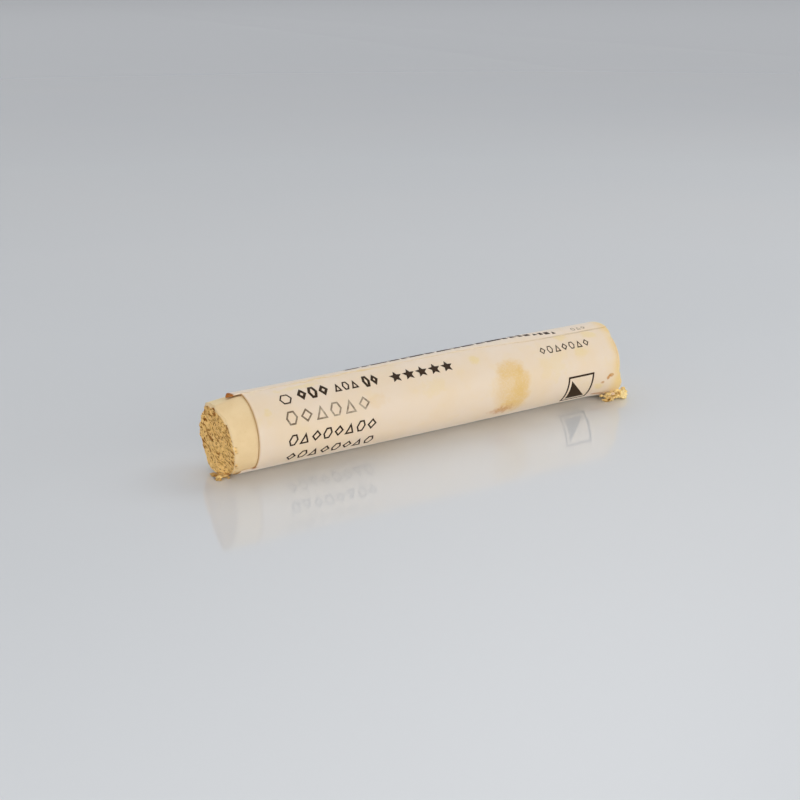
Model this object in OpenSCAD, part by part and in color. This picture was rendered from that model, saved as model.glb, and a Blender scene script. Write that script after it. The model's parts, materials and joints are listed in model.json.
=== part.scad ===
// A round soft pastel lying on its side in a loose paper wrapper, broken off at one end.
// +X runs along the stick from the broken end to the whole end, +Z is up, and the stick lies
// on the plane z = 0. The origin is on that plane, under the middle of the stick's length.
// An angle "around" the stick is measured from its top, over the -Y side and down.

/* [Pastel] */
// Diameter of the pastel
stick_d = 11.4; // [8:0.1:14]
// Bare pastel between the wrapper's front and the longest point of the broken end
bare_len = 5.2; // [4.2:0.1:20]
// How far the whole end stands out of the wrapper
end_proud = 0.9; // [0:0.1:3]
// Radius of the rounded rim at the whole end
end_round = 0.5; // [0.2:0.1:1.5]

/* [Broken end] */
// Lean of the break away from square, in degrees
break_lean = 5; // [0:1:12]
// Place around the stick where the break is longest, in degrees
break_high = 27; // [0:5:355]
// Depth of the chip off the lower front of the rim, from the longest point
front_chip = 1.8; // [0.5:0.1:2.5]
// Depth of the chip off the upper back of the rim, from the longest point
back_chip = 1.3; // [0.5:0.1:2.5]
// Length of the worn strip along the top, from the longest point to where it runs out
top_wear = 6; // [2:0.1:8]
// Slope of the worn strip, down towards the break, in degrees
wear_slope = 9; // [5:1:12]
// Depth of the small chip off the front of the rim, from the longest point
small_chip = 1.2; // [0.5:0.1:2]

/* [Paper wrapper] */
// Length of the wrapper along its front
wrapper_len = 66.3; // [40:0.1:120]
// Thickness of the paper
paper_t = 0.10; // [0.08:0.01:0.3]
// Radial slack between the paper and the pastel
slack = 0.20; // [0.1:0.01:0.5]
// Width of the glued lap, measured around the stick
lap_w = 4.2; // [2:0.1:6]
// Place of the lap's free edge around the stick, along its top, in degrees
lap_edge = 3; // [-20:1:30]
// How much further the back of the wrapper reaches over the bare pastel
tongue_len = 2.4; // [1.6:0.1:3.2]
// Lower end of the torn-away front, around the stick, in degrees
tear_end = 148; // [100:1:154]

/* [Tongue] */
// How far the tongue still reaches at the top, where its end was torn off at a slant
tongue_top = 0.8; // [0.3:0.1:1.6]
// Width of the corner left at the lap's free edge, where the slanting tear starts
corner_w = 1.6; // [0.8:0.1:2.5]

/* [Rest] */
// Width of the flat that the loose paper takes where the stick lies
flat_w = 1.6; // [1:0.1:2.4]
// Gap left between the pastel and the paper that carries it
seat_gap = 0.02; // [0.01:0.01:0.05]

/* [Hidden] */
$fn = 96;

stick_r = stick_d / 2;
paper_in_r = stick_r + slack;
paper_r = paper_in_r + paper_t;

// Heights above the plane that the stick lies on
flat_drop = paper_r - sqrt(paper_r * paper_r - flat_w * flat_w / 4);
wrapper_z = paper_r - flat_drop;
stick_z = paper_t + seat_gap + stick_r;

// Places along the stick, with x = 0 at the middle of its whole length
total_len = bare_len + wrapper_len + end_proud;
break_x = -total_len / 2;
wrapper_x = break_x + bare_len;

// Chips off the rim of the break: place around the stick, depth from the longest point, lean
chips = [[135, front_chip, 35], [-55, back_chip, 20], [85, small_chip, 30]];
// The worn strip along the top is cut like a chip that leans nearly all the way over
wear_around = -15;

// The lap is a second turn of the sheet. Past its glued width it runs straight down to the
// first turn, along a line that passes this far from the stick's axis at its foot.
lap_turn = lap_w / paper_r * 180 / PI;
ramp_foot_r = paper_r - paper_t / 20;
ramp_foot = lap_edge - lap_turn - acos(ramp_foot_r / (paper_r + paper_t));

tongue_x = wrapper_x - tongue_len;
tongue_lean = atan((tongue_len - tongue_top) / (2 * paper_r));

pastel_colour = "#e3a540";
paper_colour = "#e6d3bf";

// A point at radius r, around degrees from the top, in the section plane
function spot(r, around) = [-r * sin(around), r * cos(around)];

// Stands a section, drawn in Y and Z, on the plane at x and extrudes it along X
module along_stick(x, len) {
    translate([x, 0, 0]) rotate([90, 0, 90]) linear_extrude(len) children();
}

// The sector of the section between two angles, out to radius r
module sector(r, from, to) {
    steps = ceil(abs(to - from) / 45);
    rim = [for (i = [0:steps]) spot(r, from + (to - from) * i / steps)];
    polygon(concat([[0, 0]], rim));
}

// Everything beyond a plane that crosses the stick at x, on the rim at the given angle.
// A lean of 0 cuts square across the stick, and a lean of 90 cuts along it.
module beyond_plane(x, around, lean) {
    reach = 4 * stick_d;
    translate([0, 0, stick_z]) rotate([around, 0, 0]) translate([x, 0, stick_r])
        rotate([0, lean, 0]) translate([-reach, -reach / 2, -reach / 2]) cube(reach);
}

// The round bar with a rounded rim at its whole end, longer than needed at the broken one
module moulded_bar() {
    spare = stick_d / 2;
    bar_len = total_len + spare;
    translate([break_x - spare, 0, stick_z]) rotate([0, 90, 0]) rotate_extrude() {
        square([stick_r, bar_len - end_round]);
        square([stick_r - end_round, bar_len]);
        translate([stick_r - end_round, bar_len - end_round]) intersection() {
            circle(end_round);
            square(end_round);
        }
    }
}

// The pastel: a moulded bar that snapped nearly square across, with chips off the rim and its
// top worn down towards the break
module pastel_stick() {
    color(pastel_colour) difference() {
        moulded_bar();
        beyond_plane(break_x, break_high, -break_lean);
        for (chip = chips) beyond_plane(break_x + chip[1], chip[0], chip[2]);
        beyond_plane(break_x + top_wear, wear_around, 90 - wear_slope);
    }
}

// A disc that is flattened where it lies, at the height of the paper's underside
module flattened_disc(r, underside) {
    intersection() {
        translate([0, wrapper_z]) circle(r);
        translate([-2 * r, underside]) square(4 * r);
    }
}

// The second turn of the sheet at the lap, with its ramp down to the first turn
module lap() {
    ramp_top_r = ramp_foot_r / cos(lap_edge - ramp_foot);
    translate([0, wrapper_z]) intersection() {
        circle(paper_r + paper_t);
        polygon([[0, 0], spot(ramp_top_r, lap_edge), spot(ramp_foot_r, ramp_foot)]);
    }
}

// The wrapper's section: one turn of paper, the lap on its back and the flat underneath
module paper_section() {
    difference() {
        union() {
            flattened_disc(paper_r, 0);
            lap();
        }
        flattened_disc(paper_in_r, paper_t);
    }
}

// What was torn off the front, from where the sheet starts under the lap to the tear's end
module torn_front() {
    translate([0, wrapper_z]) intersection() {
        circle(paper_r);
        sector(2 * paper_r, lap_edge - lap_turn, tear_end);
    }
}

// The corner that the slanting tear left on the tongue, seen from above
module tongue_corner() {
    edge_y = -paper_r * sin(lap_edge);
    slant = corner_w / (tongue_len - tongue_top);
    translate([0, 0, wrapper_z]) linear_extrude(2 * paper_r) polygon([
        [tongue_x, edge_y - corner_w], [tongue_x, edge_y + corner_w / 8],
        [wrapper_x, edge_y + corner_w / 8 + slant * tongue_len], [wrapper_x, edge_y - corner_w]
    ]);
}

// What the slanting tear took off the tongue's end, from its foot up to the top
module torn_end() {
    reach = 4 * paper_r;
    difference() {
        translate([tongue_x, 0, 0]) rotate([0, tongue_lean, 0])
            translate([-reach, -reach / 2, -reach / 2]) cube(reach);
        tongue_corner();
    }
}

// The wrapper: one rolled sheet, with its front torn off square. The back, and the second turn
// that comes up from it over the top, still reach further over the bare pastel as a tongue.
module paper_wrapper() {
    spare = 1;
    color(paper_colour) difference() {
        along_stick(tongue_x, wrapper_len + tongue_len) paper_section();
        along_stick(tongue_x - spare, tongue_len + spare) torn_front();
        torn_end();
    }
}

pastel_stick();
paper_wrapper();
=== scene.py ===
import json
import math

import bmesh
import bpy
from mathutils import Matrix, Vector, noise


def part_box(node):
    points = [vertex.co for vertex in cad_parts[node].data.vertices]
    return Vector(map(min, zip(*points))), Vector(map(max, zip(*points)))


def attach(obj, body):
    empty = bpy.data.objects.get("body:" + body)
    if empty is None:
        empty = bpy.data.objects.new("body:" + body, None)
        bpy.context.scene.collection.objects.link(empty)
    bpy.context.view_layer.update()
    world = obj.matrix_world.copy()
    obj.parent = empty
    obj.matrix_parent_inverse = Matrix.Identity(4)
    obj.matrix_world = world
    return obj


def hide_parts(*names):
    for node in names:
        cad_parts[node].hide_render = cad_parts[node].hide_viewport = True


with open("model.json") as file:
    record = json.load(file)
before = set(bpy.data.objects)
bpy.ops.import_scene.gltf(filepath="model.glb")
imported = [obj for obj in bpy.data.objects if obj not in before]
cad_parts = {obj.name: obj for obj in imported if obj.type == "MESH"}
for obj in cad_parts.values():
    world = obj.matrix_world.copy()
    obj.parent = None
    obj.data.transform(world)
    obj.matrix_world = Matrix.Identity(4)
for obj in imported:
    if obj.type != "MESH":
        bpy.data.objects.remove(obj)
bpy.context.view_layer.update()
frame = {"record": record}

# A round soft pastel, snapped off at one end, lying on its side in a rolled paper wrapper.
# Pieces are shaped in millimetres and degrees, and become metres when they are finished.
# An angle "around" the stick is measured from its top, over the front and down.
MM = 0.001

# ------------------------------
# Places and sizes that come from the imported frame
# ------------------------------
pastel_low, pastel_high = (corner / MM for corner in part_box("pastel_stick"))
paper_low, paper_high = (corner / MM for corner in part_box("paper_wrapper"))
barrel = next(m for m in frame["record"]["mounts"] if m["name"] == "barrel")

STICK_R = (pastel_high.z - pastel_low.z) / 2
STICK_Z = (pastel_high.z + pastel_low.z) / 2
BREAK_X = pastel_low.x
WHOLE_X = pastel_high.x
PAPER_R = barrel["dims"]["r_mm"]
PAPER_Z = barrel["pos_m"][2] / MM
FRONT_X = barrel["pos_m"][0] / MM - barrel["dims"]["length_mm"] / 2
FAR_X = paper_high.x
TONGUE_X = paper_low.x

# ------------------------------
# Driving values of the looks
# ------------------------------
# Broken pastel
# Fineness of its net: cells across the broken face, then rings of edges along the side behind the
# break, along the rest of the side, around the whole end's rim and over its flat
FACE_CELLS = 240
BREAK_RINGS = 18
BARE_RINGS = 3
END_RINGS = 6
CAP_RINGS = 3
# How far the close rings behind the break reach, and the radius of the whole end's rim
BREAK_REACH = 6.0
WHOLE_ROUND = 0.5
# Lean of the break's grain, away from level, and how far the grain lies behind the rim
GRAIN_TILT = 26
GRAIN_BEHIND = 0.12
# How far the broken rim stands back from its longest point: place around, depth
RIM_LINE = [
    (10, 0.35), (27, 0.0), (48, 0.8), (62, 1.0), (80, 1.1), (106, 1.35), (140, 1.7), (158, 2.0),
    (176, 0.8), (205, 0.75), (240, 0.9), (262, 0.78), (275, 1.05), (300, 1.2), (335, 0.8),
]
MEAN_RIM = sum(depth for _, depth in RIM_LINE) / len(RIM_LINE)
# Roundness of that rim: place around, radius
RIM_ROUNDS = [
    (15, 0.22), (60, 0.16), (110, 0.18), (150, 0.28),
    (200, 0.10), (260, 0.10), (305, 0.30), (340, 0.36),
]
# How far the smooth skin still wraps over the rim, as a share of the radius
RIM_SKIN = [(0, 0.085), (25, 0.04), (55, 0.01), (110, 0.0), (300, 0.0), (330, 0.06)]
# The strip worn off the top: length, slope and place around, as in the CAD part, and how softly
# it turns into the round side
WEAR_LENGTH = 6.0
WEAR_SLOPE = math.tan(math.radians(9))
WEAR_AROUND = -15
WEAR_SOFT = 0.45

# Paper wrapper
# Its thickness, and its net: rows along the stick and columns around it
PAPER_T = 0.10
SHEET_ROWS = 130
SHEET_COLUMNS = 300
FULL_TURN = 360
# Millimetres of the unrolled sheet to one unit of its UV map
SHEET_SPAN = 100.0
# The lap: its width, the turn over which it climbs, its free edge's place around, and how far it
# is pressed into the turn below it
LAP_TURN = 40
LAP_CLIMB = 11
LAP_EDGE = 3
LAP_PRESS = 0.045
# Place around where the sheet starts, under the lap
SHEET_START = LAP_EDGE - LAP_TURN
# The lap's free edge drifts around the stick: the stretch, as distances from the torn front, and
# by how many degrees
EDGE_DRIFTS = [(-0.3, -2.2, 1.5), (18, 36, 3), (36, 53, 12)]
# Lower end of the torn-away front, around the stick, and half the turn that its step takes
TEAR_END = 138
TEAR_STEP = 1.2
# How the roll grips the pastel at the front: its radius and its middle come in, over this stretch
GRIP_IN = 0.155
GRIP_DOWN = 0.110
GRIP_SPAN = (FRONT_X + 32, FRONT_X + 2)
# How far the roll opens at the far end, upwards and sideways, and over which stretch
FLARE_UP = 0.37
FLARE_OUT = 0.16
FLARE_SPAN = (FAR_X - 50, FAR_X - 12)
# How far the far end's lower front corner is bent outwards, over which stretch, and between which
# places around
BULGE = 0.50
BULGE_SPAN = (FAR_X - 4, FAR_X + 0.8)
BULGE_RISE = (92, 124)
BULGE_FALL = (166, 146)
# Height of the sheet's soft ripples
RIPPLE = 0.035
# How far the far end of the paper reaches past its plain length, around the stick
FAR_LINE = [
    (0, 0.5), (20, 0.4), (54, -0.4), (80, -0.3), (92, 0.0), (104, 0.5),
    (119, 1.1), (132, 1.25), (146, 0.9), (160, 0.2), (200, 0.0), (330, 0.2),
]
# The slanting end of the tongue: its lean and where the slant ends, and the corner left at the
# lap's free edge
TONGUE_LEAN = 0.21
SLANT_TOP = 10.5
CORNER_STEP = 0.15
CORNER_SLANT = 0.55
CORNER_DROOP = 0.03

# Print: how far the ink stands above the paper and sinks into it, and the width of the slices that
# let a flat mark bend round
INK_LIFT = 0.02
INK_DEPTH = 0.03
SLICE = 0.4


def clamp(value):
    return max(0.0, min(1.0, value))


def smooth_step(low, high, value):
    t = clamp((value - low) / (high - low))
    return t * t * (3 - 2 * t)


def between(a, b, share):
    return a + (b - a) * share


def along_round_line(line, around):
    """The value of a line of (place, value) points that closes on itself, eased between points"""
    around = (around - line[0][0]) % FULL_TURN + line[0][0]
    closed = line + [(line[0][0] + FULL_TURN, line[0][1])]
    (start, a), (end, b) = next(pair for pair in zip(closed, closed[1:]) if around <= pair[1][0])
    return between(a, b, smooth_step(start, end, around))


def arc_of(around):
    """The distance around the outside of the paper that an angle covers"""
    return math.radians(around) * PAPER_R


def lumps(x, y, z, scale, seed, octaves=3):
    """Soft lumps about as wide as scale, from about -1 to 1"""
    place = Vector((x, y, z)) / scale + Vector((seed * 7.31, seed * 3.17, seed * 5.93))
    return noise.fractal(place, 1.0, 2.0, octaves, noise_basis="PERLIN_ORIGINAL")


def chance_of(place, stride):
    """A fixed random value from 0 to 1 for a place"""
    return 0.5 + 0.5 * noise.cell(place * stride + Vector((0.5, 0.5, 0.5)))


def add_object(bm, name, materials):
    """Puts a shape into the scene"""
    mesh = bpy.data.meshes.new(name)
    bm.to_mesh(mesh)
    bm.free()
    for material in materials:
        mesh.materials.append(material)
    added = bpy.data.objects.new(name, mesh)
    bpy.context.scene.collection.objects.link(added)
    return added


def finish_piece(bm, name, materials, nodes=()):
    """Turns a shape in millimetres into a piece in metres that rides on the stick"""
    bmesh.ops.scale(bm, vec=(MM, MM, MM), verts=bm.verts)
    piece = add_object(bm, name, materials)
    piece.data.shade_smooth()
    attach(piece, "root")
    if nodes:
        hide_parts(*nodes)
    return piece


# ------------------------------
# Shader helpers
# ------------------------------
class Nodes:
    """Adds and joins nodes in a material or in a node group"""

    def __init__(self, tree):
        self.tree = tree

    def feed(self, socket, value):
        """Links a node's output to a socket, or sets the socket to a plain value"""
        if isinstance(value, bpy.types.NodeSocket):
            self.tree.links.new(value, socket)
        else:
            socket.default_value = value

    def add(self, kind, inputs=None, **settings):
        node = self.tree.nodes.new("ShaderNode" + kind)
        for name, value in settings.items():
            setattr(node, name, value)
        for name, value in (inputs or {}).items():
            self.feed(node.inputs[name], value)
        return node

    def group(self, tree, inputs):
        """Places a node group, and gives its outputs"""
        return self.add("Group", inputs, node_tree=tree).outputs

    def attribute(self, name):
        return self.add("Attribute", attribute_name=name).outputs["Fac"]

    def math(self, operation, a, b=0.0, c=0.0):
        return self.add("Math", {0: a, 1: b, 2: c}, operation=operation).outputs[0]

    def ramp(self, value, low, high, to_low=0.0, to_high=1.0):
        """A smooth rise of value from low to high"""
        inputs = {"Value": value, "From Min": low, "From Max": high, "To Min": to_low, "To Max": to_high}
        return self.add("MapRange", inputs, interpolation_type="SMOOTHSTEP").outputs["Result"]

    def mix(self, share, a, b):
        """Mixes two colours, through the sockets that a colour mix uses"""
        return self.add("Mix", {0: share, 6: a, 7: b}, data_type="RGBA").outputs[2]

    def noise(self, vector, scale, detail=3.0, rough=0.55):
        inputs = {"Vector": vector, "Scale": scale, "Detail": detail, "Roughness": rough}
        return self.add("TexNoise", inputs).outputs["Fac"]

    def bump(self, height, strength, distance):
        inputs = {"Height": height, "Strength": strength, "Distance": distance}
        return self.add("Bump", inputs).outputs[0]


def colour(r, g, b):
    """A colour given as seen, 0 to 255, as the shader's linear values"""
    def linear(c):
        c = c / 255
        return c / 12.92 if c <= 0.04045 else ((c + 0.055) / 1.055) ** 2.4
    return (linear(r), linear(g), linear(b), 1.0)


def new_material(name, roughness, specular=0.5):
    """A material with a bare Principled shader, and the means to add to it"""
    material = bpy.data.materials.new(name)
    material.use_nodes = True
    nodes = Nodes(material.node_tree)
    shader = material.node_tree.nodes["Principled BSDF"]
    shader.inputs["Roughness"].default_value = roughness
    shader.inputs["Specular IOR Level"].default_value = specular
    return material, nodes, shader


def new_group(name, inputs, outputs):
    """A node group with named sockets: name, socket kind and, for inputs, a value"""
    tree = bpy.data.node_groups.new(name, "ShaderNodeTree")
    for label, kind, value in inputs:
        socket = tree.interface.new_socket(name=label, in_out="INPUT", socket_type=kind)
        socket.default_value = value
    for label, kind in outputs:
        tree.interface.new_socket(name=label, in_out="OUTPUT", socket_type=kind)
    nodes = Nodes(tree)
    given = tree.nodes.new("NodeGroupInput").outputs
    result = tree.nodes.new("NodeGroupOutput").inputs
    return tree, nodes, given, result


def make_smudge_group():
    """A rubbed patch of pigment with a ragged edge, at a place on the unrolled paper"""
    inputs = [
        ("Sheet", "NodeSocketVector", (0, 0, 0)),
        ("Centre", "NodeSocketVector", (0, 0, 0)),
        ("Half Size", "NodeSocketVector", (1, 1, 1)),
        ("Ragged", "NodeSocketFloat", 0.5),
        ("Strength", "NodeSocketFloat", 1.0),
    ]
    tree, nodes, given, result = new_group("smudge", inputs, [("Mask", "NodeSocketFloat")])
    away = nodes.add("VectorMath", {0: given["Sheet"], 1: given["Centre"]}, operation="SUBTRACT")
    scaled = nodes.add("VectorMath", {0: away.outputs[0], 1: given["Half Size"]}, operation="DIVIDE")
    reach = nodes.add("VectorMath", {0: scaled.outputs[0]}, operation="LENGTH").outputs["Value"]
    wander = nodes.math("SUBTRACT", nodes.noise(given["Sheet"], 0.55, 5.0, 0.62), 0.5)
    ragged = nodes.math("MULTIPLY", wander, given["Ragged"])
    edge = nodes.math("ADD", reach, nodes.math("MULTIPLY", ragged, 4.0))
    mask = nodes.ramp(edge, 1.15, 0.45)
    speckle = nodes.ramp(nodes.noise(given["Sheet"], 3.2, 3.0, 0.7), 0.25, 0.6, 0.45, 1.0)
    rubbed = nodes.math("MULTIPLY", mask, speckle)
    nodes.feed(result["Mask"], nodes.math("MULTIPLY", rubbed, given["Strength"]))
    return tree


def make_grain_group():
    """Fine powdery grain, as a height for bump and as a mask for colour"""
    inputs = [
        ("Place", "NodeSocketVector", (0, 0, 0)),
        ("Scale", "NodeSocketFloat", 1000.0),
    ]
    outputs = [("Height", "NodeSocketFloat"), ("Fleck", "NodeSocketFloat")]
    tree, nodes, given, result = new_group("powder_grain", inputs, outputs)
    scale = given["Scale"]
    fine = nodes.noise(given["Place"], scale, 4.0, 0.65)
    coarse = nodes.noise(given["Place"], nodes.math("MULTIPLY", scale, 0.22), 3.0, 0.6)
    height = nodes.math("ADD", nodes.math("MULTIPLY", fine, 0.6), nodes.math("MULTIPLY", coarse, 0.4))
    nodes.feed(result["Height"], height)
    nodes.feed(result["Fleck"], nodes.ramp(fine, 0.56, 0.72))
    return tree


def make_pit_group():
    """Fine pits, drawn out along the grain of the break, as a mask"""
    inputs = [
        ("Place", "NodeSocketVector", (0, 0, 0)),
        ("Scale", "NodeSocketFloat", 1000.0),
    ]
    tree, nodes, given, result = new_group("fine_pits", inputs, [("Mask", "NodeSocketFloat")])
    along_grain = {
        "Vector": given["Place"],
        "Rotation": (math.radians(GRAIN_TILT), 0, 0),
        "Scale": (3.0, 3.0, 1.0),
    }
    turned = nodes.add("Mapping", along_grain, vector_type="TEXTURE").outputs[0]
    warp = nodes.add("TexNoise", {"Vector": turned, "Scale": given["Scale"], "Detail": 2.0})
    warp = warp.outputs["Color"]
    shift = nodes.add("VectorMath", {0: warp, "Scale": 0.00008}, operation="SCALE").outputs[0]
    turned = nodes.add("VectorMath", {0: turned, 1: shift}, operation="ADD").outputs[0]
    cells = nodes.add("TexVoronoi", {"Vector": turned, "Scale": given["Scale"]})
    inside = nodes.ramp(cells.outputs["Distance"], 0.46, 0.24)
    patches = nodes.noise(given["Place"], nodes.math("MULTIPLY", given["Scale"], 0.3), 3.0)
    some = nodes.ramp(patches, 0.35, 0.55, 0.45, 1.0)
    nodes.feed(result["Mask"], nodes.math("MULTIPLY", inside, some))
    return tree


smudge_group = make_smudge_group()
grain_group = make_grain_group()
pit_group = make_pit_group()


# ------------------------------
# Materials
# ------------------------------
def make_pastel():
    """Pressed pastel: a smooth pale skin where it was moulded, granular and tan where it broke, with
    painted shade in the pits of the break
    """
    material, nodes, shader = new_material("pressed_pastel", 0.92, 0.25)
    place = nodes.add("TexCoord").outputs["Object"]
    broken = nodes.attribute("broken")
    pit_shade = nodes.attribute("pit_shade")
    grain = nodes.group(grain_group, {"Place": place, "Scale": 5200.0})
    drift = nodes.noise(place, 260.0, 3.0)
    skin = nodes.mix(nodes.ramp(drift, 0.3, 0.7), colour(242, 214, 168), colour(236, 206, 158))
    skin = nodes.mix(nodes.math("MULTIPLY", grain["Fleck"], 0.25), skin, colour(214, 176, 118))
    # Paler on the strip worn off the top
    worn_paler = nodes.attribute("worn_paler")
    skin = nodes.mix(nodes.math("MULTIPLY", worn_paler, 0.6), skin, colour(255, 234, 186))
    crumb = nodes.noise(place, 1500.0, 4.0, 0.7)
    rough = nodes.mix(nodes.ramp(crumb, 0.3, 0.7), colour(234, 188, 110), colour(254, 214, 142))
    fine = nodes.group(pit_group, {"Place": place, "Scale": 3900.0})["Mask"]
    # The pits of the break turn dark brown: painted shade, set by the pits' depth and by the fine pits
    pit = nodes.math("MAXIMUM", nodes.ramp(pit_shade, 0.10, 0.60), nodes.math("MULTIPLY", fine, 0.85))
    rough = nodes.mix(pit, rough, colour(150, 88, 14))
    shade = nodes.mix(broken, skin, rough)
    nodes.feed(shader.inputs["Base Color"], shade)
    depth = nodes.math("ADD", nodes.math("MULTIPLY", broken, 0.8), 0.2)
    dents = nodes.math("MULTIPLY", nodes.math("MULTIPLY", fine, broken), -0.8)
    height = nodes.math("ADD", grain["Height"], dents)
    nodes.feed(shader.inputs["Normal"], nodes.bump(height, depth, 0.00008))
    return material


# Rubbed-off pigment on the paper: distance from the torn front, place around, half sizes in
# millimetres along and around, raggedness, strength
SMUDGES = [
    (44.2, 60, 3.0, 1.9, 0.35, 0.55),
    (46.1, 84, 2.0, 3.6, 0.35, 0.60),
    (43.8, 90, 3.6, 4.6, 0.15, 0.55),
    (45.2, 108, 2.8, 2.6, 0.35, 0.45),
    (44.6, 122, 2.8, 1.8, 0.40, 0.50),
    (20.0, 66, 2.0, 1.2, 0.70, 0.20),
]
YELLOWING = [
    (38.6, 33, 1.3, 0.9, 0.60, 0.60),
    (2.2, 48, 0.8, 0.8, 0.60, 0.45),
    (8.8, 15, 4.0, 0.6, 0.80, 0.50),
    (56.5, 20, 1.5, 1.1, 0.70, 0.55),
    (62.1, 27, 1.4, 1.0, 0.70, 0.55),
    (58.6, 53, 1.5, 1.1, 0.70, 0.45),
    (52.5, 70, 3.0, 2.2, 0.80, 0.25),
    (30.0, 62, 2.6, 1.6, 0.80, 0.25),
    (62.6, 118, 1.2, 0.8, 0.70, 0.60),
]
STREAKS = [
    (42.9, 126, 2.4, 1.05, 0.60, 0.85),
    (64.0, 140, 2.0, 0.40, 0.70, 0.85),
]
SPECKS = [
    (64.9, 101, 0.50, 0.30, 0.70, 1.00),
    (64.2, 105, 0.30, 0.36, 0.70, 0.90),
    (63.2, 112, 0.45, 0.30, 0.70, 0.80),
    (62.9, 140, 0.70, 0.25, 0.50, 1.00),
]


def sheet_place(distance, around):
    """A place on the unrolled paper, in millimetres"""
    return (FRONT_X + distance, arc_of(around - SHEET_START), 0.0)


def add_smudges(nodes, sheet, base, spots, tint):
    """Lays each rubbed patch of one tint over a base colour"""
    for distance, around, half_long, half_round, ragged, strength in spots:
        inputs = {
            "Sheet": sheet,
            "Centre": sheet_place(distance, around),
            "Half Size": (half_long, half_round, 1.0),
            "Ragged": ragged,
            "Strength": strength,
        }
        base = nodes.mix(nodes.group(smudge_group, inputs)["Mask"], base, tint)
    return base


def read_sheet(nodes):
    """The place on the unrolled paper, in millimetres"""
    unrolled = nodes.add("UVMap", uv_map="sheet").outputs["UV"]
    scaled = nodes.add("VectorMath", {0: unrolled, "Scale": SHEET_SPAN}, operation="SCALE")
    return scaled.outputs[0]


def make_paper(name, sheen, specular):
    """Thin smooth label paper, gone creamy, with pastel dust rubbed into it. Where dust, stain and
    painted shade lie thick, along the torn front and at the tongue's corner, the paper has lost its
    sheen."""
    material, nodes, shader = new_material(name, 0.5, specular)
    shader.inputs["Sheen Weight"].default_value = sheen
    shader.inputs["Sheen Roughness"].default_value = 0.40
    sheet = read_sheet(nodes)
    cream = nodes.mix(nodes.ramp(nodes.noise(sheet, 0.12, 3.0), 0.35, 0.65),
                      colour(237, 217, 194), colour(237, 214, 184))
    dust = nodes.ramp(nodes.noise(sheet, 0.35, 4.0, 0.6), 0.52, 0.72)
    cream = nodes.mix(nodes.math("MULTIPLY", dust, 0.30), cream, colour(238, 212, 160))
    along = nodes.add("SeparateXYZ", {0: sheet}).outputs["X"]
    seam = nodes.attribute("seam")
    close = nodes.ramp(nodes.math("ABSOLUTE", seam), 0.55, 0.05)
    patchy = nodes.ramp(nodes.noise(sheet, 0.30, 3.0, 0.6), 0.42, 0.62, 0.15, 1.0)
    dusty = nodes.math("MULTIPLY", nodes.ramp(along, FRONT_X + 7, FRONT_X + 11),
                       nodes.ramp(along, FRONT_X + 25, FRONT_X + 21))
    seam_dust = nodes.math("MULTIPLY_ADD", dusty, 0.75, 0.12)
    line = nodes.math("MULTIPLY", nodes.math("MULTIPLY", close, patchy), seam_dust)
    cream = nodes.mix(line, cream, colour(232, 196, 110))
    hairline = nodes.math("MULTIPLY", nodes.ramp(nodes.math("ABSOLUTE", seam), 0.16, 0.04),
                          nodes.ramp(along, FRONT_X + 48, FRONT_X + 57, 0.0, 0.5))
    cream = nodes.mix(hairline, cream, colour(150, 126, 100))
    cream = add_smudges(nodes, sheet, cream, SMUDGES, colour(230, 190, 112))
    cream = add_smudges(nodes, sheet, cream, YELLOWING, colour(236, 210, 136))
    cream = add_smudges(nodes, sheet, cream, STREAKS, colour(206, 146, 76))
    cream = add_smudges(nodes, sheet, cream, SPECKS, colour(196, 130, 44))
    rim = nodes.ramp(along, FAR_X - 2.0, FAR_X + 0.2)
    rim_dust = nodes.ramp(nodes.noise(sheet, 0.5, 3.0, 0.6), 0.25, 0.60, 0.45, 1.0)
    cream = nodes.mix(nodes.math("MULTIPLY", rim, rim_dust), cream, colour(238, 206, 142))
    # A tan line along the torn front edge: pastel dust, and a painted shadow of the gap between paper and
    # pastel
    front_dust_and_shade = nodes.attribute("front_dust_and_shade")
    cream = nodes.mix(nodes.math("MULTIPLY", front_dust_and_shade, 0.85), cream, colour(196, 150, 84))
    # Brown at the tongue's corner and in the notch: stain, and painted shade of the gap under the corner
    # and of the notch
    stain_and_shade_mask = nodes.attribute("stain_and_shade")
    blotch = nodes.ramp(nodes.noise(sheet, 2.5, 3.0, 0.6), 0.3, 0.65, 0.85, 1.0)
    cream = nodes.mix(nodes.math("MULTIPLY", stain_and_shade_mask, blotch), cream, colour(168, 96, 22))
    nodes.feed(shader.inputs["Base Color"], cream)
    fibres = nodes.noise(sheet, 5.0, 4.0, 0.7)
    nodes.feed(shader.inputs["Normal"], nodes.bump(fibres, 0.12, 0.00003))
    return material


def make_paper_inside():
    """The paper's inner face, dusty from the pastel"""
    material, nodes, shader = new_material("paper_inside", 0.8, 0.2)
    sheet = read_sheet(nodes)
    dust = nodes.ramp(nodes.noise(sheet, 0.9, 4.0, 0.6), 0.3, 0.7)
    shade = nodes.mix(dust, colour(238, 218, 186), colour(228, 194, 136))
    nodes.feed(shader.inputs["Base Color"], shade)
    return material


def make_cut_edge():
    """The sheet's edges: clean along the lap, full of pastel dust around both ends, and tan at the
    torn front also for the painted shadow of the gap between paper and pastel
    """
    material, nodes, shader = new_material("paper_cut_edge", 0.85, 0.2)
    sheet = read_sheet(nodes)
    front_dust_and_shade = nodes.attribute("front_dust_and_shade")
    along = nodes.add("SeparateXYZ", {0: sheet}).outputs["X"]
    ends = nodes.math("MAXIMUM", front_dust_and_shade, nodes.ramp(along, FAR_X - 1.5, FAR_X - 0.5))
    fibres = nodes.ramp(nodes.noise(sheet, 4.0, 3.0, 0.6), 0.3, 0.7)
    clean = nodes.mix(fibres, colour(240, 222, 200), colour(232, 208, 178))
    dusty = nodes.mix(fibres, colour(216, 178, 116), colour(226, 190, 132))
    shade = nodes.mix(ends, clean, dusty)
    nodes.feed(shader.inputs["Base Color"], shade)
    return material


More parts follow.
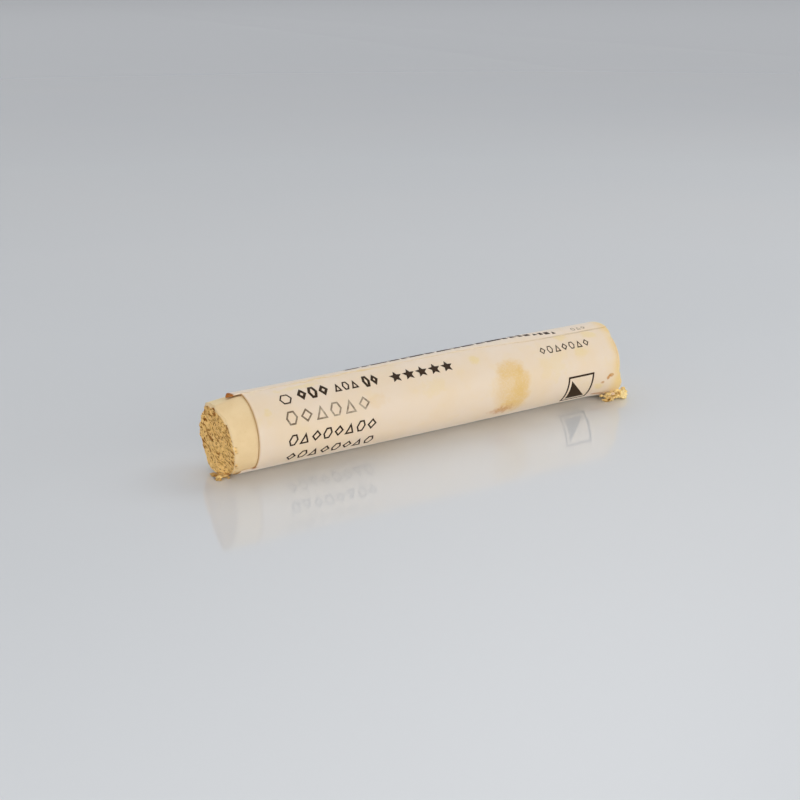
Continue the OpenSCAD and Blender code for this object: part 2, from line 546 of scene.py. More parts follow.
def make_ink(name, dark, worn, wear_from, wear_to):
    """Printing ink on paper, worn through to the paper in specks"""
    material, nodes, shader = new_material(name, 0.6, 0.2)
    place = nodes.add("TexCoord").outputs["Object"]
    rub = nodes.noise(place, 900.0, 5.0, 0.7)
    patch = nodes.noise(place, 160.0, 3.0, 0.6)
    wear = nodes.math("ADD", nodes.math("MULTIPLY", rub, 0.6), nodes.math("MULTIPLY", patch, 0.4))
    shade = nodes.mix(nodes.ramp(wear, wear_from, wear_to), dark, worn)
    nodes.feed(shader.inputs["Base Color"], shade)
    return material


def make_crumb():
    """Loose pastel pressed into flakes: brighter than the skin, with brown flecks in its grain. Its
    brown flakes are partly dirt and partly painted shade between flakes; its cream-pink ones are painted
    highlights
    """
    material, nodes, shader = new_material("pastel_crumb", 0.95, 0.2)
    place = nodes.add("TexCoord").outputs["Object"]
    grain = nodes.group(grain_group, {"Place": place, "Scale": 4200.0})
    shift = nodes.ramp(nodes.noise(place, 900.0, 4.0, 0.65), 0.35, 0.65)
    crumb_tint = nodes.attribute("tint")
    shade = nodes.mix(shift, colour(252, 216, 138), colour(255, 232, 176))
    shade = nodes.mix(nodes.ramp(crumb_tint, 0.62, 0.48), shade, colour(214, 176, 112))
    # Brown where the tint is lowest: partly dirt, partly painted shade between the flakes
    shade = nodes.mix(nodes.ramp(crumb_tint, 0.26, 0.12), shade, colour(166, 116, 50))
    # Cream-pink where the tint is highest: a painted highlight
    shade = nodes.mix(nodes.ramp(crumb_tint, 0.90, 0.97), shade, colour(250, 222, 190))
    shade = nodes.mix(nodes.math("MULTIPLY", grain["Fleck"], 0.5), shade, colour(180, 124, 52))
    nodes.feed(shader.inputs["Base Color"], shade)
    nodes.feed(shader.inputs["Normal"], nodes.bump(grain["Height"], 0.7, 0.00008))
    return material


pastel_material = make_pastel()
paper_material = make_paper("label_paper", 0.50, 0.35)
stained_and_shaded_material = make_paper("stained_and_shaded_paper", 0.0, 0.0)
inside_material = make_paper_inside()
edge_material = make_cut_edge()
ink_material = make_ink("dark_ink", colour(56, 38, 19), colour(150, 126, 96), 0.60, 0.74)
faded_material = make_ink("faded_ink", colour(120, 101, 78), colour(196, 178, 154), 0.40, 0.62)
crumb_material = make_crumb()


# ------------------------------
# Broken pastel
# ------------------------------
def mould_bar():
    """A closed bar of radius 1: a fine square net for the broken face, then rings of edges along
    the side and over the whole end. Every vertex knows its ring, and the face is ring 0."""
    bm = bmesh.new()
    ring_of = bm.verts.layers.int.new("ring")
    bmesh.ops.create_grid(bm, x_segments=FACE_CELLS, y_segments=FACE_CELLS, size=1)
    for v in bm.verts:
        a, b = v.co.x, v.co.y
        v.co = (0, a * math.sqrt(1 - b * b / 2), b * math.sqrt(1 - a * a / 2))
    edges = [e for e in bm.edges if e.is_boundary]
    for ring in range(1, BREAK_RINGS + BARE_RINGS + END_RINGS + CAP_RINGS + 1):
        pulled = bmesh.ops.extrude_edge_only(bm, edges=edges)["geom"]
        for v in (g for g in pulled if isinstance(g, bmesh.types.BMVert)):
            v[ring_of] = ring
        edges = [g for g in pulled if isinstance(g, bmesh.types.BMEdge)]
        edges = [e for e in edges if all(v[ring_of] == ring for v in e.verts)]
    last = list({v for e in edges for v in e.verts})
    bmesh.ops.pointmerge(bm, verts=last, merge_co=(0, 0, 0))
    return bm


def elongated_pits(a, b, long, cell, share, seed):
    """Pits stretched along a: how far inside one a place is, 0 to 1"""
    warp = 0.35 * cell * lumps(a, b, 0, cell * 0.9, seed + 20)
    near, centres = noise.voronoi(Vector((a / long + warp, b - warp, 0)) / cell + Vector((seed, seed, 0)))
    chance = chance_of(centres[0], 3.7)
    if chance > share:
        return 0.0
    size = 0.24 + 0.26 * chance_of(centres[0], 5.1)
    return smooth_step(size, size * 0.55, near[0]) * (1 - 0.5 * chance)


def torn_grain(y, z):
    """Height of the broken face's crumbly grain, outwards, and how much of a pit a place is"""
    tilt = math.radians(GRAIN_TILT)
    a = y * math.cos(tilt) + z * math.sin(tilt)
    b = -y * math.sin(tilt) + z * math.cos(tilt)
    coarse = smooth_step(-2, 4, y * 0.7 + z * 0.7)
    height = 0.20 * lumps(a / 1.4, b, 0, 2.6, 1)
    ridges = lumps(a / 3.4, b, 0, 0.62, 3, 2)
    height += (0.12 + 0.12 * coarse) * ridges
    height += 0.07 * lumps(a / 1.8, b, 0, 0.30, 4, 2) + 0.035 * lumps(a, b, 0, 0.13, 7, 2)
    bend = 0.10 * lumps(a, b, 0, 0.9, 14)
    huge = elongated_pits(a, b + bend, 3.4, 0.42, 0.06 + 0.40 * coarse, 15)
    large = elongated_pits(a, b + bend, 2.6, 0.28, 0.28 + 0.35 * coarse, 5)
    small = elongated_pits(a, b + bend, 2.2, 0.20, 0.95, 6)
    height -= 0.22 * huge + 0.17 * large + 0.11 * small
    return height, max(huge, large, 0.8 * small, 0.5 * clamp(-2.2 * ridges - 0.3))


def worn_radius(x, around):
    """Radius of the bar where its top is worn down towards the break"""
    across = math.cos(math.radians(around - WEAR_AROUND))
    worn = (BREAK_X + WEAR_LENGTH - x) * WEAR_SLOPE
    if across <= 0.3 or worn <= 0:
        return STICK_R
    limit = (STICK_R - worn) / across
    blend = clamp(0.5 + 0.5 * (limit - STICK_R) / WEAR_SOFT)
    return between(limit, STICK_R, blend) - WEAR_SOFT * blend * (1 - blend)


def place_on_face(v, share, around):
    """The broken face: depth along the stick, radius, and how much of a pit"""
    rim = along_round_line(RIM_LINE, around)
    curve = along_round_line(RIM_ROUNDS, around)
    outer = worn_radius(BREAK_X + rim + curve, around)
    level = between(MEAN_RIM, rim, share ** 1.8)
    flank = smooth_step(1 - 1.3 * curve / STICK_R, 1.0, share)
    rounding = curve * (1 - math.sqrt(1 - flank ** 2))
    radius = share * outer
    height, pit = torn_grain(v.co.y * STICK_R, v.co.z * STICK_R)
    x = BREAK_X + level + GRAIN_BEHIND - height * between(1.0, 0.3, flank) + rounding
    radius -= 0.08 * flank * (1 + 0.9 * lumps(0, v.co.y, v.co.z, 0.14, 8))
    return max(x, BREAK_X), radius, pit


def place_on_side(ring, y, z, around):
    """The moulded side: place along the stick, radius, and how broken it is"""
    start = BREAK_X + along_round_line(RIM_LINE, around) + GRAIN_BEHIND
    start += along_round_line(RIM_ROUNDS, around)
    bare_end = WHOLE_X - WHOLE_ROUND
    if ring <= BREAK_RINGS:
        x = start + BREAK_REACH * ((ring - 1) / BREAK_RINGS) ** 1.7
    elif ring <= BREAK_RINGS + BARE_RINGS:
        near = start + BREAK_REACH * ((BREAK_RINGS - 1) / BREAK_RINGS) ** 1.7
        x = between(near, bare_end, (ring - BREAK_RINGS) / BARE_RINGS)
    else:
        quarter = min(1.0, (ring - BREAK_RINGS - BARE_RINGS) / END_RINGS)
        x = bare_end + WHOLE_ROUND * math.sin(quarter * math.pi / 2)
    from_rim = x - start
    radius = worn_radius(x, around)
    rugged = 1 - smooth_step(-60, -20, around) * smooth_step(100, 65, around)
    nick = rugged * clamp(lumps(x * 0.7, y, z, 0.8, 9) * 2.0 - 0.30) * smooth_step(0.6, 0.0, from_rim)
    low = smooth_step(112, 150, around) * smooth_step(1.5, 0.0, from_rim)
    crumbly = low * clamp(0.5 + 1.2 * lumps(x, y, z, 0.6, 10))
    radius -= 0.22 * nick + 0.20 * crumbly + 0.012 * lumps(x, y, z, 1.8, 13)
    broken = clamp(nick * 1.5 + crumbly)
    drop = WHOLE_ROUND - (WHOLE_X - x)
    if drop > 0:
        radius -= WHOLE_ROUND - math.sqrt(max(0.0, WHOLE_ROUND ** 2 - drop ** 2))
    return x, radius, broken


def shape_pastel(bm):
    """Gives the bar its real size, its rounded whole end and its broken one"""
    ring_of = bm.verts.layers.int["ring"]
    broken = bm.verts.layers.float.new("broken")
    # How deep in a pit of the break a place lies, for the painted shade there
    pit_shade = bm.verts.layers.float.new("pit_shade")
    worn_paler = bm.verts.layers.float.new("worn_paler")
    side_rings = BREAK_RINGS + BARE_RINGS + END_RINGS
    for v in bm.verts:
        ring = v[ring_of]
        share = min(1.0, math.hypot(v.co.y, v.co.z))
        around = math.degrees(math.atan2(-v.co.y, v.co.z))
        y, z = v.co.y * STICK_R, v.co.z * STICK_R
        if ring == 0:
            x, radius, v[pit_shade] = place_on_face(v, share, around)
            skin = along_round_line(RIM_SKIN, around)
            v[broken] = smooth_step(1.0 - skin, 0.97 - skin, share)
        elif ring <= side_rings:
            x, radius, v[broken] = place_on_side(ring, y, z, around)
            v[worn_paler] = smooth_step(0.02, 0.25, STICK_R - worn_radius(x, around))
        else:
            shrink = 1 - (ring - side_rings) / CAP_RINGS if share > 0 else 0
            radius = (STICK_R - WHOLE_ROUND) * shrink
            x = WHOLE_X - 0.05 * clamp(lumps(0, y * shrink, z * shrink, 1.6, 11) + 0.3) * (1 - shrink)
        angle = math.radians(around)
        v.co = (x, -radius * math.sin(angle), STICK_Z + radius * math.cos(angle))


def make_broken_pastel():
    bm = mould_bar()
    shape_pastel(bm)
    bmesh.ops.recalc_face_normals(bm, faces=bm.faces)
    finish_piece(bm, "broken_pastel", [pastel_material], ["pastel_stick"])


# ------------------------------
# Paper wrapper
# ------------------------------
def free_edge(x):
    """Where the lap's free edge runs around the stick; it wanders at both ends"""
    distance = x - FRONT_X
    return LAP_EDGE + sum(by * smooth_step(start, end, distance) for start, end, by in EDGE_DRIFTS)


def paper_spot(x, turn, lift=0.0):
    """A point on the sheet's outer face. turn is measured from the sheet's start under the lap."""
    around = SHEET_START + turn
    angle = math.radians(around)
    climb = smooth_step(FULL_TURN - LAP_CLIMB, FULL_TURN, turn)
    ripple = RIPPLE * lumps(x * 0.5, 4 * math.sin(angle), 4 * math.cos(angle), 3.4, 21, 2)
    grip = smooth_step(*GRIP_SPAN, x)
    flare = smooth_step(*FLARE_SPAN, x)
    bent = smooth_step(*BULGE_SPAN, x)
    bent *= smooth_step(*BULGE_RISE, around) * smooth_step(*BULGE_FALL, around)
    radius = PAPER_R + climb * (PAPER_T - LAP_PRESS) + ripple * (1 - 0.8 * grip)
    radius += BULGE * bent - GRIP_IN * grip
    if turn > FULL_TURN:
        loose = smooth_step(FULL_TURN + 15, FULL_TURN + LAP_TURN, turn)
        radius += 0.03 * loose * clamp(0.3 + lumps(x, 0, 0, 3.5, 22, 2))
        radius -= CORNER_DROOP * loose * smooth_step(FRONT_X - 0.9, TONGUE_X, x)
    top = 0.5 + 0.5 * math.cos(angle)
    y = -math.sin(angle) * (radius + FLARE_OUT * flare)
    z = PAPER_Z - GRIP_DOWN * grip + radius * math.cos(angle) + FLARE_UP * flare * top
    spot = Vector((x, y, max(z, 0.0)))
    if lift:
        spot += Vector((0, -math.sin(angle), math.cos(angle))) * lift
    return spot


def front_line(turn):
    """Where the sheet starts along X: torn square at the front, further out as a tongue at the
    back, with a slanting end and a corner left at the lap's free edge"""
    around = SHEET_START + turn
    step = smooth_step(TEAR_END - TEAR_STEP, TEAR_END + TEAR_STEP, around)
    torn = 0.05 * lumps(turn * 0.1, 0, 0, 0.9, 31, 3)
    height = PAPER_Z + PAPER_R * math.cos(math.radians(around))
    slanting = TONGUE_X + min(height, SLANT_TOP) * TONGUE_LEAN
    from_edge = arc_of(FULL_TURN + LAP_TURN - turn)
    corner = TONGUE_X + max(0.0, from_edge - CORNER_STEP) * CORNER_SLANT
    return between(FRONT_X, min(slanting, corner), step) + abs(torn) * (0.3 + 0.9 * step)


def far_line(turn):
    """Where the sheet ends along X at the far end: furthest at the top and at the lower front"""
    reach = along_round_line(FAR_LINE, SHEET_START + turn)
    return FAR_X + reach - abs(0.06 * lumps(turn * 0.1, 5, 0, 0.9, 32, 3))


def spread_net(row, column):
    """Where a place on the net, 0 to 1 each way, lies on the sheet: along the stick, and its turn"""
    turn = column * (FULL_TURN + LAP_TURN)
    eased = 0.3 * row + 0.7 * (0.5 - 0.5 * math.cos(math.pi * row))
    x = between(front_line(turn), far_line(turn), eased)
    if turn > FULL_TURN:
        last = LAP_TURN + free_edge(x) - LAP_EDGE
        turn = FULL_TURN + (turn - FULL_TURN) * last / LAP_TURN
    return x, turn


def from_seam(x, turn):
    """The distance around the stick from the lap's free edge"""
    around = SHEET_START + turn
    if turn > FULL_TURN - LAP_CLIMB:
        around -= FULL_TURN
    return arc_of(around - free_edge(x))


def front_dust_and_shade_at(x, turn):
    """How tan the paper is along its torn front edge, from pastel dust and from the painted shadow of
    the gap between paper and pastel; less where the step runs
    """
    dust = smooth_step(0.26, 0.06, x - front_line(turn)) * smooth_step(FULL_TURN, FULL_TURN - 8, turn)
    on_step = smooth_step(4, 2, abs(SHEET_START + turn - TEAR_END))
    return dust * (1 - 0.9 * on_step * smooth_step(FRONT_X - 0.15, FRONT_X - 0.4, x))


def stain_and_shade_depth(x, turn):
    """How brown the paper is, partly stain and partly painted shade: at the tongue's corner, for the
    shade of the gap under it, and in the notch at the foot of the step, for its shadow
    """
    corner = smooth_step(FRONT_X - 0.95, FRONT_X - 1.2, x) * smooth_step(FULL_TURN, FULL_TURN + 20, turn)
    from_notch = math.hypot(x - FRONT_X + 0.1, arc_of(SHEET_START + turn - TEAR_END))
    return max(corner, smooth_step(0.50, 0.25, from_notch))


def face_outwards(bm):
    """Turns the sheet's faces over if they point at the stick"""
    face = bm.faces[:][len(bm.faces) // 2]
    face.normal_update()
    middle = face.calc_center_median()
    if face.normal.dot(Vector((0, middle.y, middle.z - PAPER_Z))) < 0:
        bmesh.ops.reverse_faces(bm, faces=bm.faces)


def make_paper_roll():
    """One sheet, rolled round the stick and lapped along the top"""
    bm = bmesh.new()
    bmesh.ops.create_grid(bm, x_segments=SHEET_ROWS, y_segments=SHEET_COLUMNS, size=0.5)
    seam = bm.verts.layers.float.new("seam")
    stain_and_shade = bm.verts.layers.float.new("stain_and_shade")
    front_dust_and_shade = bm.verts.layers.float.new("front_dust_and_shade")
    unrolled = bm.loops.layers.uv.new("sheet")
    place = {}
    for v in bm.verts:
        x, turn = spread_net(v.co.x + 0.5, v.co.y + 0.5)
        place[v] = (x, turn)
        v[seam] = from_seam(x, turn)
        v[front_dust_and_shade] = front_dust_and_shade_at(x, turn)
        v[stain_and_shade] = stain_and_shade_depth(x, turn)
        v.co = paper_spot(x, turn)
    materials = [paper_material, inside_material, edge_material, stained_and_shaded_material]
    for face in bm.faces:
        # Faces thick with stain, dust and painted shade get the paper without sheen
        dust = sum(max(v[stain_and_shade], v[front_dust_and_shade]) for v in face.verts) / len(face.verts)
        if dust > 0.5:
            face.material_index = materials.index(stained_and_shaded_material)
        for loop in face.loops:
            x, turn = place[loop.vert]
            loop[unrolled].uv = (x / SHEET_SPAN, arc_of(turn) / SHEET_SPAN)
    face_outwards(bm)
    piece = finish_piece(bm, "paper_roll", materials, ["paper_wrapper"])
    wall = piece.modifiers.new("paper_thickness", "SOLIDIFY")
    wall.thickness = PAPER_T * MM
    wall.offset = -1
    wall.material_offset = 1
    wall.material_offset_rim = 2


# ------------------------------
# Print: generic marks, drawn flat in millimetres (distance from the torn front, distance
# around from the top) and then bent onto the paper
# ------------------------------
TRIANGLE, DIAMOND, HEXAGON = 3, 4, 6
# The row of stars: how many, how far apart, their radius and the share of it at their waist
STAR_COUNT = 5
STAR_STEP = 2.31
STAR_R = 1.10
STAR_WAIST = 0.47
# The square mark: its middle, its side, its frame's width and how far in its triangle lies
SQUARE_X = 58.3
SQUARE_AROUND = 116
SQUARE_SIDE = 5.4
SQUARE_FRAME = 0.32
SQUARE_MARGIN = 0.75
# The row on the back: the widths of its marks, the gap between them, where it starts and where its
# marks get small, and how high the bold and the small ones are
BACK_WIDTHS = [
    2.4, 1.3, 2.9, 1.8, 1.1, 2.6, 1.5, 3.0, 1.2, 2.3,
    1.7, 2.8, 0.9, 1.2, 0.7, 1.0, 0.8, 0.6, 0.9, 0.7,
]
BACK_GAP = 0.38
BACK_START = 18.0
SMALL_START = 46
BOLD_HEIGHT = 2.4
SMALL_HEIGHT = 0.9
# The thin rule under that row
RULE_LENGTH = 36.0
RULE_WIDTH = 0.4
RULE_AROUND = -58


def hollow_out(bm, face, width):
    """Leaves only a rim of this width of a flat face"""
    face.normal_update()
    bmesh.ops.inset_individual(bm, faces=[face], thickness=width, use_even_offset=True)
    bmesh.ops.delete(bm, geom=[face], context="FACES_ONLY")


def outline(bm, x, y, length, height, sides, width, slant=0.0):
    """The outline of a regular shape, stretched to fill a box of this length and height"""
    points = bmesh.ops.create_circle(bm, cap_ends=True, radius=1, segments=sides)["verts"]
    turn = math.pi / 2 + (math.pi / sides if sides % 2 == 0 and sides != DIAMOND else 0)
    corners = [(math.cos(turn + 2 * math.pi * i / sides), math.sin(turn + 2 * math.pi * i / sides))
               for i in range(sides)]
    wide = max(a for a, b in corners) - min(a for a, b in corners)
    tall = max(b for a, b in corners) - min(b for a, b in corners)
    base = min(b for a, b in corners)
    for v, (a, b) in zip(points, corners):
        up = (b - base) / tall
        v.co = (x + length * (0.5 + a / wide) + up * height * slant, y + height * (1 - up), 0)
    hollow_out(bm, points[0].link_faces[0], width)


def outline_row(bm, x, y, shapes, length, height, gap, width, slant=0.0):
    """A row of outlines, one after another"""
    for i, sides in enumerate(shapes):
        outline(bm, x + i * (length + gap), y, length, height, sides, width, slant)


def star(bm, x, y, radius):
    """A five-pointed star"""
    points = bmesh.ops.create_circle(bm, cap_ends=True, radius=1, segments=10)["verts"]
    for i, v in enumerate(points):
        reach = radius * (1.0 if i % 2 == 0 else STAR_WAIST)
        angle = math.radians(36 * i + 90)
        v.co = (x + reach * math.cos(angle), y - reach * math.sin(angle), 0)


def bar(bm, x, y, length, height):
    """A filled bar; gives its face"""
    points = bmesh.ops.create_grid(bm, x_segments=1, y_segments=1, size=0.5)["verts"]
    bmesh.ops.scale(bm, vec=(length, height, 1), verts=points)
    bmesh.ops.translate(bm, vec=(x + length / 2, y + height / 2, 0), verts=points)
    return points[0].link_faces[0]


def triangle(bm, corners):
    """A filled triangle"""
    bm.faces.new([bm.verts.new((x, y, 0)) for x, y in corners])


def print_on_paper(bm, name, material, start_turn=0):
    """Slices flat marks finely, bends them onto the paper and gives them the ink's thickness"""
    for axis, normal in enumerate((Vector((1, 0, 0)), Vector((0, 1, 0)))):
        places = [v.co[axis] for v in bm.verts]
        low, high = min(places), max(places)
        for i in range(1, int((high - low) / SLICE) + 1):
            at = normal * (low + i * SLICE)
            geom = bm.verts[:] + bm.edges[:] + bm.faces[:]
            bmesh.ops.bisect_plane(bm, geom=geom, plane_co=at, plane_no=normal, dist=1e-5)
    bmesh.ops.recalc_face_normals(bm, faces=bm.faces)
    pulled = bmesh.ops.extrude_face_region(bm, geom=list(bm.faces))["geom"]
    top = {g for g in pulled if isinstance(g, bmesh.types.BMVert)}
    bmesh.ops.translate(bm, vec=(0, 0, INK_LIFT + INK_DEPTH), verts=list(top))
    # The bend below mirrors the marks, so their outward faces are set first and then reversed
    bmesh.ops.recalc_face_normals(bm, faces=bm.faces)
    for v in bm.verts:
        turn = math.degrees(v.co.y / PAPER_R) - SHEET_START + start_turn
        v.co = paper_spot(FRONT_X + v.co.x, turn, INK_LIFT if v in top else -INK_DEPTH)
    bmesh.ops.reverse_faces(bm, faces=bm.faces)
    finish_piece(bm, name, [material])


def make_front_print():
    """Rows of small plain outlines, light and bold, with a row of stars"""
    bm = bmesh.new()
    top = arc_of(20)
    outline_row(bm, 4.65, top + 0.55, [HEXAGON], 2.0, 1.75, 0, 0.22)
    outline_row(bm, 7.6, top, [DIAMOND, HEXAGON, DIAMOND], 1.55, 2.2, 0.22, 0.42)
    outline_row(bm, 13.6, top + 0.35, [TRIANGLE, HEXAGON, TRIANGLE], 1.2, 1.6, 0.22, 0.24)
    outline_row(bm, 18.5, top, [HEXAGON, DIAMOND], 1.25, 2.2, 0.15, 0.40)
    for i in range(STAR_COUNT):
        star(bm, 24.15 + STAR_STEP * i, arc_of(34), STAR_R)
    long_row = [HEXAGON, TRIANGLE, DIAMOND, HEXAGON, DIAMOND, TRIANGLE, HEXAGON, DIAMOND]
    outline_row(bm, 4.5, arc_of(87.5), long_row, 1.55, 1.75, 0.30, 0.25, slant=0.22)
    outline_row(bm, 4.5, arc_of(118), long_row[::-1], 1.55, 1.75, 0.30, 0.25, slant=0.22)
    small_row = [DIAMOND, HEXAGON, TRIANGLE, DIAMOND, HEXAGON, TRIANGLE, DIAMOND]
    outline_row(bm, 51.0, arc_of(35), small_row, 1.15, 1.3, 0.35, 0.17)
    print_on_paper(bm, "front_print", ink_material)


def make_faded_print():
    """A row of larger outlines, nearly rubbed away"""
    bm = bmesh.new()
    shapes = [HEXAGON, DIAMOND, TRIANGLE, HEXAGON, TRIANGLE, DIAMOND]
    outline_row(bm, 4.65, arc_of(53.5), shapes, 1.9, 2.1, 0.48, 0.26)
    print_on_paper(bm, "faded_print", faded_material)


def make_square_mark():
    """A thin square frame with a dark triangle in its lower half"""
    bm = bmesh.new()
    x = SQUARE_X - SQUARE_SIDE / 2
    y = arc_of(SQUARE_AROUND) - SQUARE_SIDE / 2
    hollow_out(bm, bar(bm, x, y, SQUARE_SIDE, SQUARE_SIDE), SQUARE_FRAME)
    near, far = SQUARE_MARGIN, SQUARE_SIDE - SQUARE_MARGIN
    triangle(bm, [(x + near, y + near), (x + near, y + far), (x + far, y + far)])
    print_on_paper(bm, "square_mark", ink_material)


def back_line(x):
    """Where the row of marks on the back ends around the stick: it drifts round with the lap"""
    bold_drift = 4 * clamp((x - BACK_START) / (SMALL_START - BACK_START))
    return arc_of(-10 + bold_drift + 18 * smooth_step(SMALL_START, SMALL_START + 12, x))


def make_back_print():
    """A bold row of filled blocks and triangles over a thin rule, on the back of the wrapper"""
    bm = bmesh.new()
    x = BACK_START
    for i, width in enumerate(BACK_WIDTHS):
        low = back_line(x)
        height = between(BOLD_HEIGHT, SMALL_HEIGHT, smooth_step(SMALL_START, SMALL_START + 6, x))
        if i % 3 == 1:
            triangle(bm, [(x, low), (x + width, low), (x + width / 2, low - height)])
        else:
            bar(bm, x, low - height, width, height)
        x += width + BACK_GAP
    bar(bm, BACK_START, arc_of(RULE_AROUND), RULE_LENGTH, RULE_WIDTH)
    print_on_paper(bm, "back_print", ink_material, start_turn=FULL_TURN)


def make_back_trace():
    """The end of the back row, where the ink hardly took"""
    bm = bmesh.new()
    outline_row(bm, 60.0, back_line(60) - 0.9, [HEXAGON, TRIANGLE, DIAMOND], 0.8, 0.9, 0.25, 0.10)
    print_on_paper(bm, "back_trace", faded_material, start_turn=FULL_TURN)


# ------------------------------
# Crumbs that cling where the stick lies: centre, half sizes, turn about Z
# ------------------------------
FAR_CRUMBS = [
    ((37.3, -5.3, 0.75), (0.95, 0.65, 0.80), 25),
    ((37.5, -5.0, 1.45), (0.55, 0.40, 0.35), 40),
    ((36.3, -5.1, 0.55), (0.80, 0.50, 0.45), -15),
    ((35.2, -4.7, 0.50), (0.80, 0.45, 0.35), 10),
    ((34.3, -4.4, 0.65), (0.60, 0.30, 0.25), 5),
    ((36.3, -4.8, 1.35), (0.55, 0.35, 0.40), 20),
    ((35.3, -4.5, 1.15), (0.50, 0.30, 0.22), -10),
    ((33.5, -4.1, 0.75), (0.35, 0.22, 0.22), 0),
]
NEAR_CRUMBS = [
    ((-35.2, -0.7, 0.22), (0.70, 0.45, 0.16), 35),
    ((-34.5, -1.4, 0.18), (0.60, 0.30, 0.14), 10),
    ((-35.7, 0.2, 0.20), (0.45, 0.35, 0.15), -25),
]
# Smaller chips scattered over them: how many, middle, half sizes of the patch, range of tints
FAR_CHIPS = (46, (35.9, -4.8, 0.65), (2.1, 0.75, 0.75), (0.10, 1.0))
NEAR_CHIPS = (22, (-35.0, -0.9, 0.20), (1.2, 1.4, 0.18), (0.10, 0.60))
# Place along the stick that no crumb passes
CRUMBS_END = 38.2


def add_crumb(bm, centre, half, turn, seed, shade):
    """One rough angular lump. shade runs from 0, brown, partly dirt and partly painted shade between
    flakes, to 1, cream-pink, a painted highlight.
    """
    lump = bmesh.ops.create_icosphere(bm, subdivisions=3 if half[0] < 0.4 else 4, radius=1)["verts"]
    tint = bm.verts.layers.float["tint"]
    for v in lump:
        rough = 1 + 0.40 * lumps(*v.co, 0.9, 40 + seed) + 0.22 * lumps(*v.co, 0.35, 60 + seed)
        step = noise.cell(v.co * 2.3 + Vector((seed, seed, seed))) * 0.14
        v[tint] = shade
        v.co *= rough + step
    bmesh.ops.scale(bm, vec=half, verts=lump)
    spin = Matrix.Rotation(math.radians(turn), 3, "Z") @ Matrix.Rotation(0.5 * shade - 0.25, 3, "Y")
    bmesh.ops.rotate(bm, cent=(0, 0, 0), matrix=spin, verts=lump)
    bmesh.ops.translate(bm, vec=centre, verts=lump)


def make_crumbs(name, lumps_placed, chips):
    """A few lumps placed one by one, and chips scattered over them, cut off level with the table"""
    bm = bmesh.new()
    bm.verts.layers.float.new("tint")
    count, middle, spread, tints = chips
    for i, (centre, half, turn) in enumerate(lumps_placed):
        add_crumb(bm, centre, half, turn, i, tints[1] * 0.8)
    for i in range(count):
        a, b, c, d = (chance_of(Vector((i, j, 0.3)), 2.9) * 2 - 1 for j in range(4))
        centre = Vector(middle) + Vector((a * spread[0], b * spread[1], c * spread[2]))
        reach = 0.13 + 0.20 * abs(d)
        shade = between(tints[0], tints[1], chance_of(Vector((i, 3.1, 0.7)), 7.3))
        add_crumb(bm, centre, (reach * 1.4, reach, reach * 0.6), 180 * d, 20 + i, shade)
    for v in bm.verts:
        v.co.z = max(v.co.z, 0.0)
        v.co.x = min(max(v.co.x, BREAK_X), CRUMBS_END)
    finish_piece(bm, name, [crumb_material])


# ------------------------------
# Floor, light and camera
# ------------------------------
FLOOR_HALF = 40.0
# Brightness of the light tent's parts
FRONT_GLOW = 3.12
OVERHEAD_GLOW = 1.50
BACK_GLOW = 0.42
SIDE_GLOW = 0.50
# A soft lamp high on the whole end's side: its width and place in metres, and its power in watts
LAMP_SIZE = 0.3
LAMP_PLACE = Vector((0.38, -0.08, 0.36))
LAMP_POWER = 0.50
CAMERA_AZIMUTH = math.radians(-31.42)
CAMERA_ELEVATION = math.radians(18.91)
CAMERA_ROLL = math.radians(-0.39)
CAMERA_PLACE = Vector((-0.09645, -0.15121, 0.06643))


def make_floor():
    bm = bmesh.new()
    bmesh.ops.create_grid(bm, x_segments=1, y_segments=1, size=FLOOR_HALF)
    material, nodes, shader = new_material("pale_gloss_floor", 0.07, 1.0)
    place = nodes.add("TexCoord").outputs["Object"]
    drift = nodes.noise(place, 6.0, 2.0)
    shade = nodes.mix(nodes.ramp(drift, 0.3, 0.7), colour(226, 228, 229), colour(228, 229, 229))
    nodes.feed(shader.inputs["Base Color"], shade)
    floor = add_object(bm, "floor", [material])
    floor.location.z = -0.00002


def make_lamp():
    light = bpy.data.lights.new("soft_lamp", "AREA")
    light.shape = "DISK"
    light.size = LAMP_SIZE
    light.energy = LAMP_POWER
    lamp = bpy.data.objects.new("soft_lamp", light)
    bpy.context.scene.collection.objects.link(lamp)
    lamp.location = LAMP_PLACE
    lamp.rotation_mode = "QUATERNION"
    lamp.rotation_quaternion = (-LAMP_PLACE).to_track_quat("-Z", "Y")


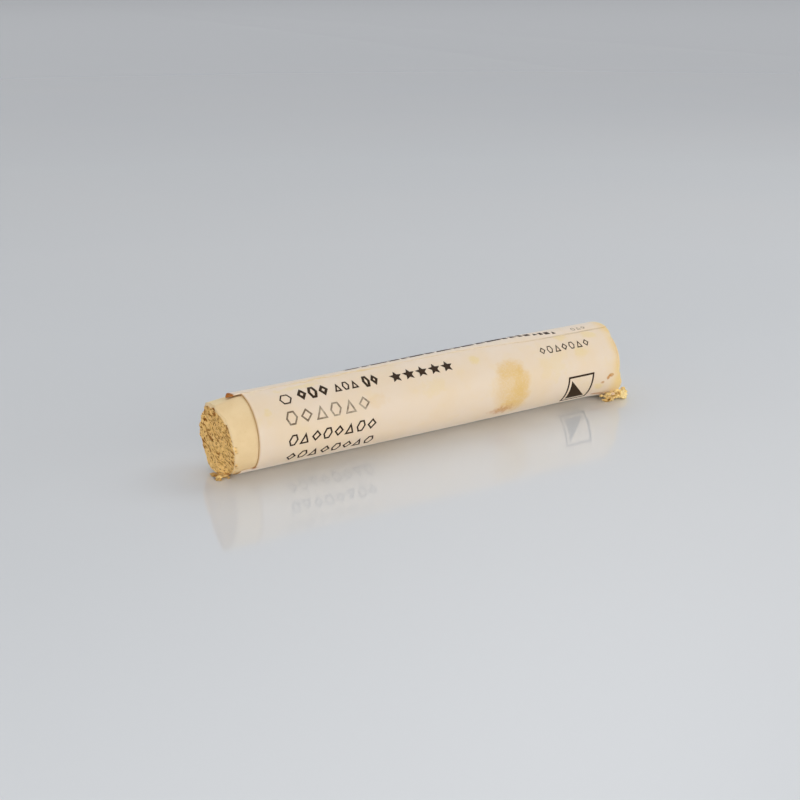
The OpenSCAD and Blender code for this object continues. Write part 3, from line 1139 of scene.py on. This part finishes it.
def make_sky():
    """A light tent, set by the angle around the stick's axis: a bright low front, little above
    it, a glow from overhead to the back, a dim back horizon and a faint glow on the left"""
    world = bpy.data.worlds.new("light_tent")
    bpy.context.scene.world = world
    world.use_nodes = True
    nodes = Nodes(world.node_tree)
    direction = nodes.add("TexCoord").outputs["Generated"]
    parts = nodes.add("SeparateXYZ", {0: direction}).outputs
    forward = nodes.math("MULTIPLY", parts["Y"], -1.0)
    lift = nodes.math("DEGREES", nodes.math("ARCTAN2", parts["Z"], forward))
    from_right = nodes.ramp(parts["X"], -0.8, 0.6, 0.85, 1.0)
    low_front = nodes.math("MULTIPLY", nodes.ramp(lift, 50, 1), from_right)
    front = nodes.math("MULTIPLY", low_front, FRONT_GLOW)
    back_fall = nodes.ramp(lift, 160, 128)
    horizon = nodes.ramp(lift, 122, 158, 0.0, BACK_GLOW)
    off_middle = nodes.math("ABSOLUTE", nodes.math("SUBTRACT", parts["X"], 0.15))
    middle = nodes.ramp(off_middle, 0.80, 0.35, 0.30, OVERHEAD_GLOW)
    above = nodes.math("MULTIPLY", nodes.math("MULTIPLY", nodes.ramp(lift, 70, 122), back_fall), middle)
    side = nodes.math("MULTIPLY", nodes.ramp(parts["X"], -0.3, -0.9), SIDE_GLOW)
    warm = nodes.add("VectorMath", {0: (1.0, 1.0, 0.985), "Scale": front}, operation="SCALE").outputs[0]
    others = nodes.math("ADD", nodes.math("ADD", above, horizon), side)
    cool = nodes.add("VectorMath", {0: (0.975, 1.0, 1.05), "Scale": others}, operation="SCALE").outputs[0]
    tone = nodes.add("VectorMath", {0: warm, 1: cool}, operation="ADD").outputs[0]
    back = world.node_tree.nodes["Background"]
    nodes.feed(back.inputs["Color"], tone)
    back.inputs["Strength"].default_value = 1.0


def make_camera():
    camera = bpy.data.cameras.new("camera")
    camera.sensor_width = 36
    camera.lens = 54
    camera.clip_start = 0.005
    camera.clip_end = 100
    holder = bpy.data.objects.new("camera", camera)
    bpy.context.scene.collection.objects.link(holder)
    turn = (
        Matrix.Rotation(CAMERA_AZIMUTH, 4, "Z")
        @ Matrix.Rotation(math.pi / 2 - CAMERA_ELEVATION, 4, "X")
        @ Matrix.Rotation(CAMERA_ROLL, 4, "Z")
    )
    holder.matrix_world = Matrix.Translation(CAMERA_PLACE) @ turn
    bpy.context.scene.camera = holder


make_broken_pastel()
make_paper_roll()
make_front_print()
make_faded_print()
make_square_mark()
make_back_print()
make_back_trace()
make_crumbs("far_crumbs", FAR_CRUMBS, FAR_CHIPS)
make_crumbs("near_crumbs", NEAR_CRUMBS, NEAR_CHIPS)
make_floor()
make_sky()
make_lamp()
make_camera()
bpy.context.scene.view_settings.view_transform = "Standard"
